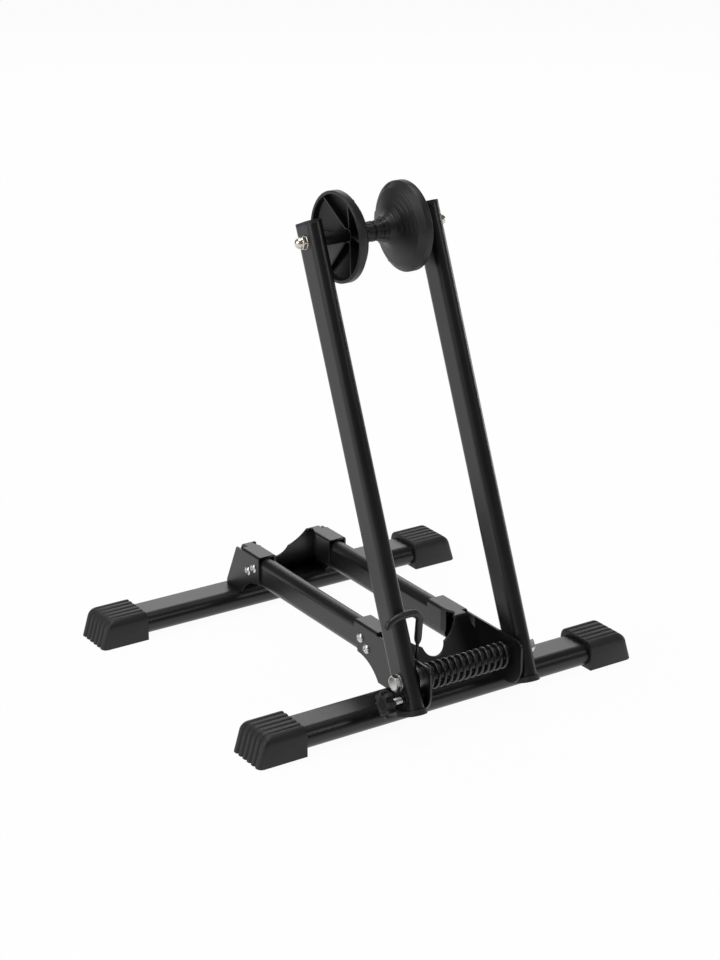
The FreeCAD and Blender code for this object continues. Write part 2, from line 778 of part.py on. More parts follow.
def cap_nut_pair():
    """Domed nuts with a flange, the left one the other hand of the right one."""
    hex_end, tip = upright_outer + size("cap_nut_hex"), upright_outer + size("cap_nut_length")
    radius = size("cap_nut_width") / 2 - size("cap_nut_chamfer")
    bulge = ring_point((0, 0), 1, 45)
    dome = outline(
        [(upright_outer, 0), (upright_outer, radius), (hex_end, radius), (tip, 0)],
        {2: (hex_end + bulge[0] * (tip - hex_end), bulge[1] * radius)},
    )
    bore = size("axle_reach") + size("cap_nut_chamfer")
    right = hex_piece("cap_nut_right", [
        ("hex", size("cap_nut_width"), upright_outer, size("cap_nut_hex")),
        ("round", size("flange_diameter"), upright_outer, size("flange_thickness")),
    ], (axle_hole, upright_outer, bore), dome)
    on_upright(right, AXLE_UP)
    return [right, mirrored("cap_nut_left", right)]


def mirrored(label, source):
    """The other hand of a piece, about the rack's middle plane."""
    part = doc.addObject("Part::Mirroring", label)
    part.Label = label
    part.Source = source
    part.Normal = Vector(1, 0, 0)
    return part


def roller_spacers():
    body = new_body("roller_spacers")
    ring = [circle(0, 0, size("roller_spacer") / 2), circle(0, 0, axle_hole)]
    start = "Sizes.roller_outside - Sizes.roller_hub_inset + Sizes.roller_gap"
    spacer = pad(body, "across", ring, f"{UPRIGHT_INNER} - ({start})", start)
    mirror(body, [spacer])
    return on_upright(body, AXLE_UP)


# ---------------------------------------------------------------- rollers

def flare(offset):
    """The cone's face, set in by offset: its arc's centre, radius and end, and the slope past it."""
    centre = (
        size("roller_gap") / 2 + size("roller_neck_length"), size("roller_neck") / 2 + size("roller_flare"))
    radius = size("roller_flare") + offset
    slope = size("roller_slope")
    end = ring_point(centre, radius, slope - 90)
    return centre, radius, end, math.tan(math.radians(slope))


def roller_right():
    """A cone roller, hollow at the back, with a short hub and six radial ribs."""
    inside, outside = size("roller_gap") / 2, size("roller_outside")
    rim, neck, hub = size("roller_diameter") / 2, size("roller_neck") / 2, size("roller_hub") / 2
    wall = size("roller_wall")
    centre, radius, end, steep = flare(0)
    rim_x = end[0] + (rim - end[1]) / steep
    middle = ring_point(centre, radius, (size("roller_slope") - 180) / 2)
    back_start, back_middle, back_end, back_x = hollow(wall, hub, rim - wall)
    shell = new_body("roller_shell")
    profile = outline([
        (inside, axle_hole), (inside, neck), (centre[0], neck), end, (rim_x, rim, size("roller_shoulder")),
        (outside, rim), (outside, rim - wall), (back_x, rim - wall), back_end,
        back_start, (roller_hub_end, hub), (roller_hub_end, axle_hole),
    ], {2: middle, 8: back_middle})
    revolve(shell, "Revolution", profile)
    return on_upright(with_ribs("roller_right", shell), AXLE_UP)


def hollow(offset, hub, top):
    """The back of the cone, offset from its face: its arc's start at the hub, middle and end, and
    where its straight slope reaches the top."""
    centre, radius, end, steep = flare(offset)
    start_angle = math.degrees(math.acos(min(1, (centre[1] - hub) / radius))) - 90
    start = ring_point(centre, radius, start_angle)
    middle = ring_point(centre, radius, (start_angle + size("roller_slope") - 90) / 2)
    return start, middle, end, end[0] + (top - end[1]) / steep


def with_ribs(label, shell):
    """Six ribs whose free edges run from the rim down to the hub's end."""
    half_wall = size("roller_wall") / 2
    top, low = size("roller_diameter") / 2 - half_wall, size("roller_hub") / 2 - half_wall
    start, middle, end, corner = hollow(half_wall, low, top)
    inset = size("roller_rib_inset")
    back, hub_back = size("roller_outside") - inset, roller_hub_end - inset
    core = new_body("rib_space")
    revolve(core, "Revolution", outline([start, end, (corner, top), (back, top), (hub_back, low)], {0: middle}))
    blades = []
    for turn in (0, 60, 120):
        blade = doc.addObject("Part::Box", "Blade")
        blade.setExpression("Length", "Sizes.roller_outside")
        blade.setExpression("Width", "Sizes.roller_rib")
        blade.setExpression("Height", "Sizes.roller_diameter")
        half = Vector(0, -size("roller_rib") / 2, -size("roller_diameter") / 2)
        turn_about_axle = Rotation(Vector(1, 0, 0), size("roller_rib_turn") + turn)
        blade.Placement = Placement(turn_about_axle.multVec(half), turn_about_axle)
        blades.append(blade)
    star = doc.addObject("Part::MultiFuse", "Star")
    star.Shapes = blades
    ribs = doc.addObject("Part::MultiCommon", "Ribs")
    ribs.Shapes = [core, star]
    roller = doc.addObject("Part::MultiFuse", label)
    roller.Label = label
    roller.Shapes = [shell, ribs]
    return roller


# ---------------------------------------------------------------- torsion spring and its sleeve

def biarc(start, start_way, end, end_way):
    """Two arcs that leave start along start_way and reach end along end_way."""
    chord = end - start
    ways = start_way + end_way
    across = 2 * (1 - start_way.dot(end_way))
    along = chord.dot(ways)
    if across < 1e-9:
        reach = chord.dot(chord) / (2 * along)
    else:
        reach = (math.sqrt(along ** 2 + across * chord.dot(chord)) - along) / across
    first, second = start + start_way * reach, end - end_way * reach
    joint = (first + second) * 0.5
    return [tangent_arc(start, first, joint), tangent_arc(joint, second, end)]


def tangent_arc(start, corner, end):
    """The arc from start to end whose end tangents meet at corner, as far from both."""
    half_chord = (end - start).Length / 2
    foot_point = (start + end) * 0.5
    rise = corner - foot_point
    turn = math.atan2(rise.Length, half_chord)
    middle = foot_point + rise.normalize() * (half_chord * math.tan(turn / 2))
    return Part.Arc(start, middle, end).toShape()


def route(points, radii):
    """Straight runs through the points, joined by arcs of the given radii."""
    edges, last = [], points[0]
    for before, point, after, radius in zip(points, points[1:], points[2:], radii):
        start, middle, end = corner_arc(before, point, after, radius)
        edges += [Part.makeLine(last, start), Part.Arc(start, middle, end).toShape()]
        last = end
    return edges + [Part.makeLine(last, points[-1])]


def leg():
    """Seen from the coil's middle: the long leg's tilt, where it leaves the coil, which way it runs,
    and its hook's points."""
    radius = size("coil_radius")
    nose = size("leg_height") * math.tan(lean) - size("upright_depth") / 2 / math.cos(lean)
    hook_y = nose - (size("sleeve_diameter") / 2 + size("hook_gap")) / math.cos(lean)
    height = size("leg_height") + coil_sag
    tilt = math.atan2(height, hook_y) - math.acos(radius / math.hypot(hook_y, height))
    leave = Vector(size("coil_end"), radius * math.cos(tilt), radius * math.sin(tilt))
    way = Vector(0, -math.sin(tilt), math.cos(tilt))
    side = -size("leg_offset")
    over = -upright_middle
    hook = [(side, height), (over + 4.8, height + 0.9), (over - 4.3, height + 0.6),
            (over - 13.4, height - 2.6), (over - 17.9, height - 8)]
    return tilt, leave, way, [Vector(x, hook_y, z) for x, z in hook]


def torsion_spring():
    """One length of wire: anchor in the right plate, coil on the pivot, leg up the left side."""
    radius, wire = size("coil_radius"), size("wire_diameter")
    tilt, leave, way, hook = leg()
    turns = size("coil_turns") + math.degrees(tilt) / 360
    pitch = (size("coil_start") - size("coil_end")) / turns
    steps = round(2 * size("coil_turns"))
    spots = []
    for step in range(steps + 1):
        angle = 2 * math.pi * turns * step / steps
        spot = Vector(size("coil_start") - pitch * turns * step / steps,
                      radius * math.cos(angle), radius * math.sin(angle))
        heading = Vector(-pitch / (2 * math.pi), -radius * math.sin(angle), radius * math.cos(angle))
        spots.append((spot, heading.normalize()))
    start, drop = size("coil_start"), -size("anchor_drop")
    anchor = [Vector(plate_outer + size("anchor_end"), radius, drop), Vector(start, radius, drop),
              Vector(start, radius, -size("anchor_lead"))]
    edges = route(anchor, [size("anchor_bend")])
    spots.insert(0, (anchor[-1], Vector(0, 0, 1)))
    leg_start = leave + way * size("leg_lead")
    leg_start.x = -size("leg_offset")
    spots.append((leg_start, way))
    for (spot, heading), (next_spot, next_heading) in zip(spots, spots[1:]):
        edges += biarc(spot, heading, next_spot, next_heading)
    edges += route([leg_start] + hook, HOOK_RADII)
    path = Part.Wire(edges)
    profile = Part.Wire(Part.makeCircle(wire / 2, anchor[0], Vector(-1, 0, 0)))
    spring = add_feature("torsion_spring", path.makePipeShell([profile], True, False))
    print("coil: least gap between turns", round(least_gap(path, wire), 3), "mm; volume against",
          "section times length", round(spring.Shape.Volume / (path.Length * math.pi * wire ** 2 / 4), 4))
    return place(spring, "0", PIVOT_Y, COIL_Z)


HOOK_RADII = [size("hook_bend"), size("hook_arc"), size("hook_arc"), size("hook_tip_bend")]


def least_gap(path, wire):
    """The least gap of the wire to itself, measured between points along its middle line."""
    points = path.discretize(Distance=1.5)
    nearest = min(
        a.distanceToPoint(b)
        for i, a in enumerate(points) for b in points[i + 10:i + 80]
    )
    return nearest - wire


def spring_sleeve():
    """The sleeve over the end of the long leg, past the upright's nose."""
    tilt, leave, way, hook = leg()
    start = leave + way * (size("sleeve_start") / math.cos(tilt))
    start.x = -size("leg_offset")
    path = Part.Wire(route([start] + hook, HOOK_RADII))
    tubes = []
    for radius in (size("sleeve_diameter") / 2, wire_hole):
        profile = Part.Wire(Part.makeCircle(radius, start, way))
        tubes.append(path.makePipeShell([profile], True, False))
    return place(add_feature("spring_sleeve", tubes[0].cut(tubes[1])), "0", PIVOT_Y, COIL_Z)


# ---------------------------------------------------------------- lock screw and knob

def rivet_nut():
    flange, length = size("insert_flange_thickness"), size("insert_length")
    start = -upright_outer - flange
    body = hex_piece("rivet_nut", [
        ("round", size("insert_flange"), start, flange),
        ("round", 2 * insert_radius, start, length),
    ], (lock_hole_radius, start - SPARE, length + 2 * SPARE))
    return on_upright(body, "-Sizes.pivot_to_lock")


def lock_screw():
    tip = -plate_outer - size("lock_tip_gap")
    length = upright_outer + size("knob_standoff") + size("knob_bore") + tip
    body = new_body("lock_screw")
    pad(body, "across", [circle(0, 0, size("lock_diameter") / 2)], str(length), str(tip - length))
    return on_upright(body, "-Sizes.pivot_to_lock")


def lock_knob():
    """A lobed knob moulded on the screw's end."""
    body = new_body("lock_knob")
    radius, deep, half = size("knob_diameter") / 2, size("knob_slot_depth"), size("knob_slot") / 2
    inner_face = f"-({UPRIGHT_OUTER}) - Sizes.knob_standoff"
    pad(body, "across", [circle(0, 0, radius)], "Sizes.knob_length", f"{inner_face} - Sizes.knob_length")
    bore = "Sizes.knob_bore + Sizes.slip_gap"
    pocket(body, "across", [circle(0, 0, lock_hole_radius)], bore, f"{inner_face} - ({bore})")
    bottom = radius - deep + half
    cut = outline(
        [(bottom, -half), (radius + deep, -half), (radius + deep, half), (bottom, half)],
        {3: (bottom - half, 0)},
    )
    slot_cut = pocket(body, "across", cut, "Sizes.knob_length * 3", f"{inner_face} - Sizes.knob_length * 2")
    pattern = body.newObject("PartDesign::PolarPattern", "Lobes")
    pattern.Originals = [slot_cut]
    axis = [f for f in body.Origin.OriginFeatures if f.Role == "X_Axis"][0]
    pattern.Axis = (axis, [""])
    pattern.Occurrences = int(size("knob_lobes"))
    body.Tip = pattern
    return on_upright(body, "-Sizes.pivot_to_lock")


# ---------------------------------------------------------------- the rack

SIDES = {"left": -1, "right": 1}

nodes = [base_tube("front_base_tube", FRONT_TUBE_Y), base_tube("rear_base_tube", REAR_TUBE_Y)]
for side_name, side in SIDES.items():
    nodes.append(foot("foot_front_" + side_name, FRONT_TUBE_Y, side))
    nodes.append(foot("foot_rear_" + side_name, REAR_TUBE_Y, side))
    nodes.append(rail("rail_" + side_name, side))
    nodes.append(upright("upright_" + side_name, side))
    nodes.append(plug("plug_top_" + side_name, side, True))
    nodes.append(plug("plug_bottom_" + side_name, side, False))
nodes += [front_bracket(), rear_bracket()]
nodes += [rivets("front_bracket_rivets", FRONT_RIVETS), rivets("rear_bracket_rivets", REAR_RIVETS)]
nodes += [pivot_bolt(), pivot_nut(), pivot_tube(), pivot_washers()]
nodes += [roller_axle(), roller_spacers()] + cap_nut_pair()
right_roller = roller_right()
nodes += [right_roller, mirrored("roller_left", right_roller)]
nodes += [torsion_spring(), spring_sleeve()]
nodes += [rivet_nut(), lock_screw(), lock_knob()]

doc.recompute()
for item in doc.Objects:
    if "Invalid" in item.State or "Error" in item.State:
        raise RuntimeError(f"{item.Label} did not build: {item.State}")
for node in nodes:
    if node.Shape.isNull() or not node.Shape.isValid():
        raise RuntimeError(f"{node.Label} has no valid shape")

os.makedirs("parts", exist_ok=True)
for node in nodes:
    node.Shape.exportStep(f"parts/{node.Label}.step")
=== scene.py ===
"""Floor rack for one bicycle: finish of every surface, small parts, studio and camera. Metres."""
import json
import math

import bmesh
import bpy
from mathutils import Matrix, Vector


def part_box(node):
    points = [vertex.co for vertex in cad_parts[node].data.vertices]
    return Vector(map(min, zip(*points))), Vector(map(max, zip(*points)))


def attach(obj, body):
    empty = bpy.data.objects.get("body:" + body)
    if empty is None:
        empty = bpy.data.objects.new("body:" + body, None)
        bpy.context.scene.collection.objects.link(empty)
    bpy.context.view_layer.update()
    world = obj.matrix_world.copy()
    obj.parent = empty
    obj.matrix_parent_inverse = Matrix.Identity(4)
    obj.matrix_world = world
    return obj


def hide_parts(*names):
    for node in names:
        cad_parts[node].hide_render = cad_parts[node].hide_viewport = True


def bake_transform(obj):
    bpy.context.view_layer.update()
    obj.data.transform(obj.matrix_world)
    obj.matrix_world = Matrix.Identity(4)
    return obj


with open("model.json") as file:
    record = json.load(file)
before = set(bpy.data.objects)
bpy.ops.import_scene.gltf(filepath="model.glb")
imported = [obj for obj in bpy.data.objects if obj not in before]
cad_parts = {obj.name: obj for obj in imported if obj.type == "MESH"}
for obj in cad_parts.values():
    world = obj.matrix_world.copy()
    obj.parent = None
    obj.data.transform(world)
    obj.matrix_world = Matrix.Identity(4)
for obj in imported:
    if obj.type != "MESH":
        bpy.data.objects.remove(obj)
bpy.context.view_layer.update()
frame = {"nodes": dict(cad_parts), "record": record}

MM = 0.001
JOINTS = {joint["name"]: joint for joint in frame["record"]["behaviour"]["joints"]}
pivot = Vector(JOINTS["arm_swing"]["pos_m"])
axle = Vector(JOINTS["roller_left_spin"]["pos_m"])


# ---------------------------------------------------------------- node trees

class Sock:
    """A node socket that adds Math nodes when it is used in an expression."""

    def __init__(self, maker, socket):
        self.maker, self.socket = maker, socket

    def _math(self, operation, *values):
        return self.maker.node("ShaderNodeMath", {"operation": operation}, dict(enumerate(values)))

    def __add__(self, other):
        return self._math("ADD", self, other)

    __radd__ = __add__

    def __sub__(self, other):
        return self._math("SUBTRACT", self, other)

    def __rsub__(self, other):
        return self._math("SUBTRACT", other, self)

    def __mul__(self, other):
        return self._math("MULTIPLY", self, other)

    __rmul__ = __mul__

    def smooth(self, low, high):
        ranged = {0: self, 1: low, 2: high}
        settings = {"interpolation_type": "SMOOTHSTEP"}
        return self.maker.node("ShaderNodeMapRange", settings, ranged)


class NodeMaker:
    """Adds nodes to a tree: node() sets a new node up and returns one of its outputs."""

    def __init__(self, tree):
        self.tree = tree

    def node(self, kind, settings=None, inputs=None, output=0):
        made = self.tree.nodes.new(kind)
        for key, value in (settings or {}).items():
            setattr(made, key, value)
        for key, value in (inputs or {}).items():
            self.feed(made.inputs[key], value)
        return Sock(self, made.outputs[output])

    def feed(self, socket, value):
        if isinstance(value, Sock):
            self.tree.links.new(value.socket, socket)
        else:
            socket.default_value = value


class Finish(NodeMaker):
    """A material in the making."""

    def __init__(self, name):
        self.material = bpy.data.materials.new(name)
        self.material.use_nodes = True
        super().__init__(self.material.node_tree)
        self.surface = self.tree.nodes["Principled BSDF"]

    def set(self, **inputs):
        for key, value in inputs.items():
            self.feed(self.surface.inputs[key.replace("_", " ")], value)

    def noise(self, size_mm, detail=2.0, rough=0.5):
        """Noise whose lumps are about size_mm across, from 0 to 1."""
        where = self.node("ShaderNodeTexCoord", output="Object")
        inputs = {"Vector": where, "Scale": 1000 / size_mm, "Detail": detail, "Roughness": rough}
        return self.node("ShaderNodeTexNoise", None, inputs)

    def blend(self, mask, dark, light):
        inputs = {0: mask, 6: (*dark, 1), 7: (*light, 1)}
        return self.node("ShaderNodeMix", {"data_type": "RGBA"}, inputs, output=2)

    def bump(self, height, depth_mm, strength=1.0, edge_mm=0.0):
        """Bump on a surface whose sharp edges are eased by edge_mm."""
        inputs = {"Height": height, "Distance": depth_mm * MM, "Strength": strength}
        if edge_mm:
            eased = self.node("ShaderNodeBevel", {"samples": 6}, {"Radius": edge_mm * MM})
            inputs["Normal"] = eased
        return self.node("ShaderNodeBump", None, inputs)


class Builder(NodeMaker):
    """A geometry node tree with named sizes; made() runs it on a mesh and gives a plain piece."""

    def __init__(self, name):
        super().__init__(bpy.data.node_groups.new(name, "GeometryNodeTree"))
        for way in ("INPUT", "OUTPUT"):
            self.tree.interface.new_socket("Shape", in_out=way, socket_type="NodeSocketGeometry")
        self.inlet = self.tree.nodes.new("NodeGroupInput")
        self.sizes = {}
        self.shape = Sock(self, self.inlet.outputs["Shape"])

    def size(self, name, value, kind="NodeSocketFloat"):
        socket = self.tree.interface.new_socket(name, in_out="INPUT", socket_type=kind)
        self.sizes[socket.identifier] = value
        return Sock(self, self.inlet.outputs[name])

    def made(self, name, mesh, shape, material):
        whole = self.node("GeometryNodeRealizeInstances", None, {"Geometry": shape})
        coats = {"Geometry": whole, "Material": material}
        coated = self.node("GeometryNodeSetMaterial", None, coats)
        outlet = self.tree.nodes.new("NodeGroupOutput")
        self.feed(outlet.inputs["Shape"], coated)
        draft = shown(name + "_draft", mesh)
        modifier = draft.modifiers.new("build", "NODES")
        modifier.node_group = self.tree
        for identifier, value in self.sizes.items():
            modifier[identifier] = value
        bpy.context.view_layer.update()
        built = draft.evaluated_get(bpy.context.evaluated_depsgraph_get())
        plain = bpy.data.meshes.new_from_object(built)
        plain.name = name
        bpy.data.objects.remove(draft)
        return shown(name, plain)


# ---------------------------------------------------------------- finishes

def powder_coat():
    """Satin black powder coat: orange peel, and faint dust on broad areas."""
    f = Finish("black_powder_coat")
    cloud = f.noise(60, 3)
    peel = f.noise(0.9, 2, 0.5)
    f.set(
        Base_Color=f.blend(cloud.smooth(0.3, 0.75),
                           (0.0055, 0.0055, 0.0057), (0.009, 0.009, 0.0092)),
        Roughness=0.27 + cloud * 0.08 + peel * 0.04,
        Normal=f.bump(peel, 0.03, 0.6, edge_mm=0.5),
    )
    return f.material


def moulded_plastic():
    """Black moulded plastic with a fine spark-eroded grain."""
    f = Finish("black_moulded_plastic")
    grain = f.noise(0.35, 3, 0.6)
    cloud = f.noise(25, 3)
    f.set(
        Base_Color=f.blend(cloud.smooth(0.3, 0.8),
                           (0.008, 0.008, 0.0082), (0.0125, 0.0125, 0.0127)),
        Roughness=0.46 + cloud * 0.1 + grain * 0.08,
        Normal=f.bump(grain, 0.04, 0.7, edge_mm=0.6),
    )
    return f.material


def roller_plastic():
    """The rollers' smoother black plastic."""
    f = Finish("roller_plastic")
    grain = f.noise(0.5, 2, 0.5)
    cloud = f.noise(18, 3)
    f.set(
        Base_Color=f.blend(cloud.smooth(0.3, 0.8),
                           (0.0075, 0.0075, 0.0077), (0.012, 0.012, 0.0122)),
        Roughness=0.42 + cloud * 0.1,
        Normal=f.bump(grain, 0.025, 0.6, edge_mm=0.25),
    )
    return f.material


def sleeve_rubber():
    """The sleeve's soft black rubber, with faint streaks."""
    f = Finish("sleeve_rubber")
    streak = f.noise(3, 3, 0.6)
    f.set(
        Base_Color=f.blend(streak.smooth(0.3, 0.8),
                           (0.010, 0.010, 0.010), (0.016, 0.016, 0.016)),
        Roughness=0.36 + streak * 0.12,
        Normal=f.bump(streak, 0.04, 0.5),
    )
    return f.material


def black_wire():
    """Spring wire with a smooth black coat, a little brighter where turns have rubbed."""
    f = Finish("black_spring_wire")
    cloud = f.noise(6, 3)
    f.set(
        Base_Color=f.blend(cloud.smooth(0.35, 0.8), (0.010, 0.010, 0.010), (0.02, 0.02, 0.02)),
        Roughness=0.22 + cloud * 0.12,
        Normal=f.bump(f.noise(0.7), 0.015, 0.5),
    )
    return f.material


def zinc_plate(name="zinc_plate", low=(0.52, 0.52, 0.51), high=(0.74, 0.74, 0.72)):
    """Bright zinc plate with soft grey clouds and fine turning marks."""
    f = Finish(name)
    cloud = f.noise(4, 4, 0.6)
    fine = f.noise(0.4, 2, 0.6)
    f.set(
        Base_Color=f.blend(cloud.smooth(0.25, 0.8), low, high),
        Metallic=1.0,
        Roughness=0.22 + cloud * 0.16,
        Normal=f.bump(fine, 0.015, 0.5, edge_mm=0.3),
    )
    return f.material


FINISHES = {
    "black_powder_coat": powder_coat(),
    "black_plastic": moulded_plastic(),
    "black_rubber": sleeve_rubber(),
    "black_spring_steel": black_wire(),
    "zinc_plated_steel": zinc_plate(),
}
roller_finish = roller_plastic()
nickel_finish = zinc_plate("warm_nickel_plate", (0.56, 0.52, 0.46), (0.78, 0.74, 0.68))
# A copy of zinc plate darkened to paint shade on the rivet nut.
dark_zinc = zinc_plate("dark_zinc", (0.05, 0.05, 0.05), (0.09, 0.09, 0.09))
# A lighter, bluer copy of zinc plate that paints a reflection on the pivot washers.
reflection_lit_zinc = zinc_plate("blue_bright_zinc", (0.6, 0.64, 0.66), (0.84, 0.87, 0.88))


def dress(piece, material):
    piece.data.materials.clear()
    piece.data.materials.append(material)


for part in frame["record"]["subparts"]:
    dress(frame["nodes"][part["node"]], FINISHES[part["material_slot"]])
# The pivot washers take the zinc copy with the painted reflection.
dress(frame["nodes"]["pivot_washers"], reflection_lit_zinc)
dress(frame["nodes"]["pivot_tube"], roller_finish)
dress(frame["nodes"]["roller_spacers"], roller_finish)
# The rivet nut takes the zinc copy with painted shade.
dress(frame["nodes"]["rivet_nut"], dark_zinc)


# ---------------------------------------------------------------- making pieces

def mm(x, y, z):
    """A place given in millimetres."""
    return Vector((x, y, z)) * MM


def shown(name, mesh):
    piece = bpy.data.objects.new(name, mesh)
    bpy.context.scene.collection.objects.link(piece)
    return piece


def from_bmesh(name, bm, sharp=32):
    """A smooth mesh whose edges stay sharp past the given angle, faces outwards."""
    bmesh.ops.recalc_face_normals(bm, faces=bm.faces)
    mesh = bpy.data.meshes.new(name)
    bm.to_mesh(mesh)
    bm.free()
    mesh.shade_smooth()
    mesh.set_sharp_from_angle(angle=math.radians(sharp))
    return mesh


def turned(rows, sides, shape=None, closed=False):
    """Rings about the X axis. rows are (x, radius) in mm, and shape may alter each point by its
    row and angle; a radius of 0 closes an end."""
    bm = bmesh.new()
    rings = []
    for row, (x, radius) in enumerate(rows):
        if radius == 0:
            rings.append([bm.verts.new(mm(x, 0, 0))])
            continue
        ring = []
        for k in range(sides):
            angle = 2 * math.pi * k / sides
            along, out = shape(row, angle) if shape else (x, radius)
            ring.append(bm.verts.new(mm(along, out * math.cos(angle), out * math.sin(angle))))
        rings.append(ring)
    pairs = list(zip(rings, rings[1:]))
    if closed:
        pairs.append((rings[-1], rings[0]))
    for ring, following in pairs:
        for k in range(sides):
            after = (k + 1) % sides
            if len(ring) == 1:
                corners = (ring[0], following[after], following[k])
            elif len(following) == 1:
                corners = (ring[k], ring[after], following[0])
            else:
                corners = (ring[k], ring[after], following[after], following[k])
            bm.faces.new(corners)
    return bm


def join(bm, rings):
    """A closed skin over rings of as many points each."""
    for ring, following in zip(rings, rings[1:]):
        for k in range(len(ring)):
            after = (k + 1) % len(ring)
            bm.faces.new((ring[k], ring[after], following[after], following[k]))
    bm.faces.new(rings[0][::-1])
    bm.faces.new(rings[-1])


def put(name, bm, centre, way=1, sharp=32):
    """The bmesh set on a centre, its X pointing to the side that way gives, as a piece."""
    bmesh.ops.transform(bm, matrix=Matrix.Diagonal((way, 1, 1, 1)), verts=bm.verts)
    bmesh.ops.translate(bm, vec=centre, verts=bm.verts)
    return shown(name, from_bmesh(name, bm, sharp))


def finish(piece, material, slot, body, *nodes):
    """Gives a finished piece its material, its body and the CAD nodes it stands for; slot is not
    used.
    """
    dress(piece, material)
    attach(piece, body)
    if nodes:
        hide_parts(*nodes)


def rounded(points, radii, steps=10):
    """Points along straight runs whose corners are rounded by arcs."""
    line = [points[0]]
    for before, point, after, radius in zip(points, points[1:], points[2:], radii):
        to_before, to_after = (before - point).normalized(), (after - point).normalized()
        half = to_before.angle(to_after) / 2
        reach = radius / math.tan(half)
        centre = point + (to_before + to_after).normalized() * (radius / math.sin(half))
        start, end = point + to_before * reach, point + to_after * reach
        for i in range(steps + 1):
            spoke = (start - centre).slerp(end - centre, i / steps)
            line.append(centre + spoke.normalized() * radius)
    return line + [points[-1]]


# ---------------------------------------------------------------- torsion spring and its sleeve

LEAN, UPRIGHT_HALF = math.radians(22.13), 15
COIL_RADIUS, WIRE_RADIUS, COIL_SAG = 10.4, 1.5, 2.35
COIL_START, COIL_END, COIL_TURNS, STEPS_A_TURN = 44.0, -42.0, 13, 40
ANCHOR_END, ANCHOR_DROP, ANCHOR_BEND = 50, 18, 3
LEG_HEIGHT, LEG_X, LEG_START = 58.5, -42.8, 12
HOOK_RADII = (9, 20, 20, 7)
SLEEVE_RADIUS, SLEEVE_GAP, SLEEVE_START, SLEEVE_SIDES = 3.3, 0.3, 29, 24
coil_middle = pivot - mm(0, 0, COIL_SAG)


def leg():
    """The leg seen from the coil's middle, in mm: its tilt, where it leaves the coil, the way it
    goes and the corners of its hook."""
    clear = UPRIGHT_HALF + SLEEVE_RADIUS + SLEEVE_GAP
    hook_y = LEG_HEIGHT * math.tan(LEAN) - clear / math.cos(LEAN)
    height = LEG_HEIGHT + COIL_SAG
    tilt = math.atan2(height, hook_y) - math.acos(COIL_RADIUS / math.hypot(hook_y, height))
    leave = Vector((COIL_END, COIL_RADIUS * math.cos(tilt), COIL_RADIUS * math.sin(tilt)))
    way = Vector((0, -math.sin(tilt), math.cos(tilt)))
    hook = [(LEG_X, height), (-55.2, height + 0.9), (-64.3, height + 0.6),
            (-73.4, height - 2.6), (-77.9, height - 8)]
    return tilt, leave, way, [Vector((x, hook_y, z)) for x, z in hook]


def spring_line():
    """The wire's centre line: anchor in the right plate, coil, long leg and hook."""
    tilt, leave, way, hook = leg()
    anchor = [Vector((ANCHOR_END, COIL_RADIUS, -ANCHOR_DROP)),
              Vector((COIL_START, COIL_RADIUS, -ANCHOR_DROP)),
              Vector((COIL_START, COIL_RADIUS, -2))]
    line = rounded(anchor, [ANCHOR_BEND])
    turns = COIL_TURNS + tilt / (2 * math.pi)
    steps = round(turns * STEPS_A_TURN)
    for step in range(steps + 1):
        share = step / steps
        angle = 2 * math.pi * turns * share
        x = COIL_START + (COIL_END - COIL_START) * share
        line.append(Vector((x, COIL_RADIUS * math.cos(angle), COIL_RADIUS * math.sin(angle))))
    start = leave + way * LEG_START
    start.x = LEG_X
    return line + rounded([start] + hook, HOOK_RADII)


def wire_piece(name, line, radius, material):
    """Round wire along a line, made by a node tree."""
    b = Builder("wire_along_a_line")
    thick = b.size("Wire radius", radius * MM)
    sides = b.size("Facets", 18, "NodeSocketInt")
    path = b.node("GeometryNodeMeshToCurve", None, {"Mesh": b.shape})
    ring = b.node("GeometryNodeCurvePrimitiveCircle", None, {"Resolution": sides, "Radius": thick})
    wire = b.node("GeometryNodeCurveToMesh", None,
                  {"Curve": path, "Profile Curve": ring, "Fill Caps": True})
    mesh = bpy.data.meshes.new(name)
    ends = [(i, i + 1) for i in range(len(line) - 1)]
    mesh.from_pydata([coil_middle + point * MM for point in line], ends, [])
    piece = b.made(name, mesh, wire, material)
    piece.data.shade_smooth()
    piece.data.set_sharp_from_angle(angle=math.radians(40))
    return piece


def spring():
    piece = wire_piece("coil_spring", spring_line(), WIRE_RADIUS, FINISHES["black_spring_steel"])
    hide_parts("torsion_spring")
    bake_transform(piece)


def sleeve():
    """Soft sleeve with a tapered lower end and an oblique, flattened tip."""
    tilt, leave, way, hook = leg()
    start = leave + way * (SLEEVE_START / math.cos(tilt))
    start.x = LEG_X
    bent = rounded([start] + hook, HOOK_RADII, 14)
    line = [start + (bent[1] - start) * (i / 12) for i in range(12)] + bent[1:]
    lengths = [0.0]
    for a, b in zip(line, line[1:]):
        lengths.append(lengths[-1] + (b - a).length)
    bm = bmesh.new()
    rings = []
    side = Vector((0, 1, 0))
    for i, point in enumerate(line):
        ahead = (line[min(i + 1, len(line) - 1)] - line[max(i - 1, 0)]).normalized()
        side = (side - ahead * side.dot(ahead)).normalized()
        other = ahead.cross(side)
        taper = 0.56 + 0.44 * min(1, max(0, (lengths[i] - 0.2) / 4.5)) ** 0.6
        flat = 0.42 + 0.58 * min(1, (lengths[-1] - lengths[i]) / 5.0) ** 0.7
        wide, thick = SLEEVE_RADIUS * taper * (0.7 + 0.3 * flat), SLEEVE_RADIUS * taper * flat
        ring = []
        for k in range(SLEEVE_SIDES):
            turn = 2 * math.pi * k / SLEEVE_SIDES
            spot = point + side * math.cos(turn) * wide + other * math.sin(turn) * thick
            ring.append(bm.verts.new(spot * MM))
        rings.append(ring)
    join(bm, rings)
    piece = put("leg_sleeve", bm, coil_middle, sharp=50)
    finish(piece, FINISHES["black_rubber"], "black_rubber", "uprights", "spring_sleeve")


# ---------------------------------------------------------------- rollers

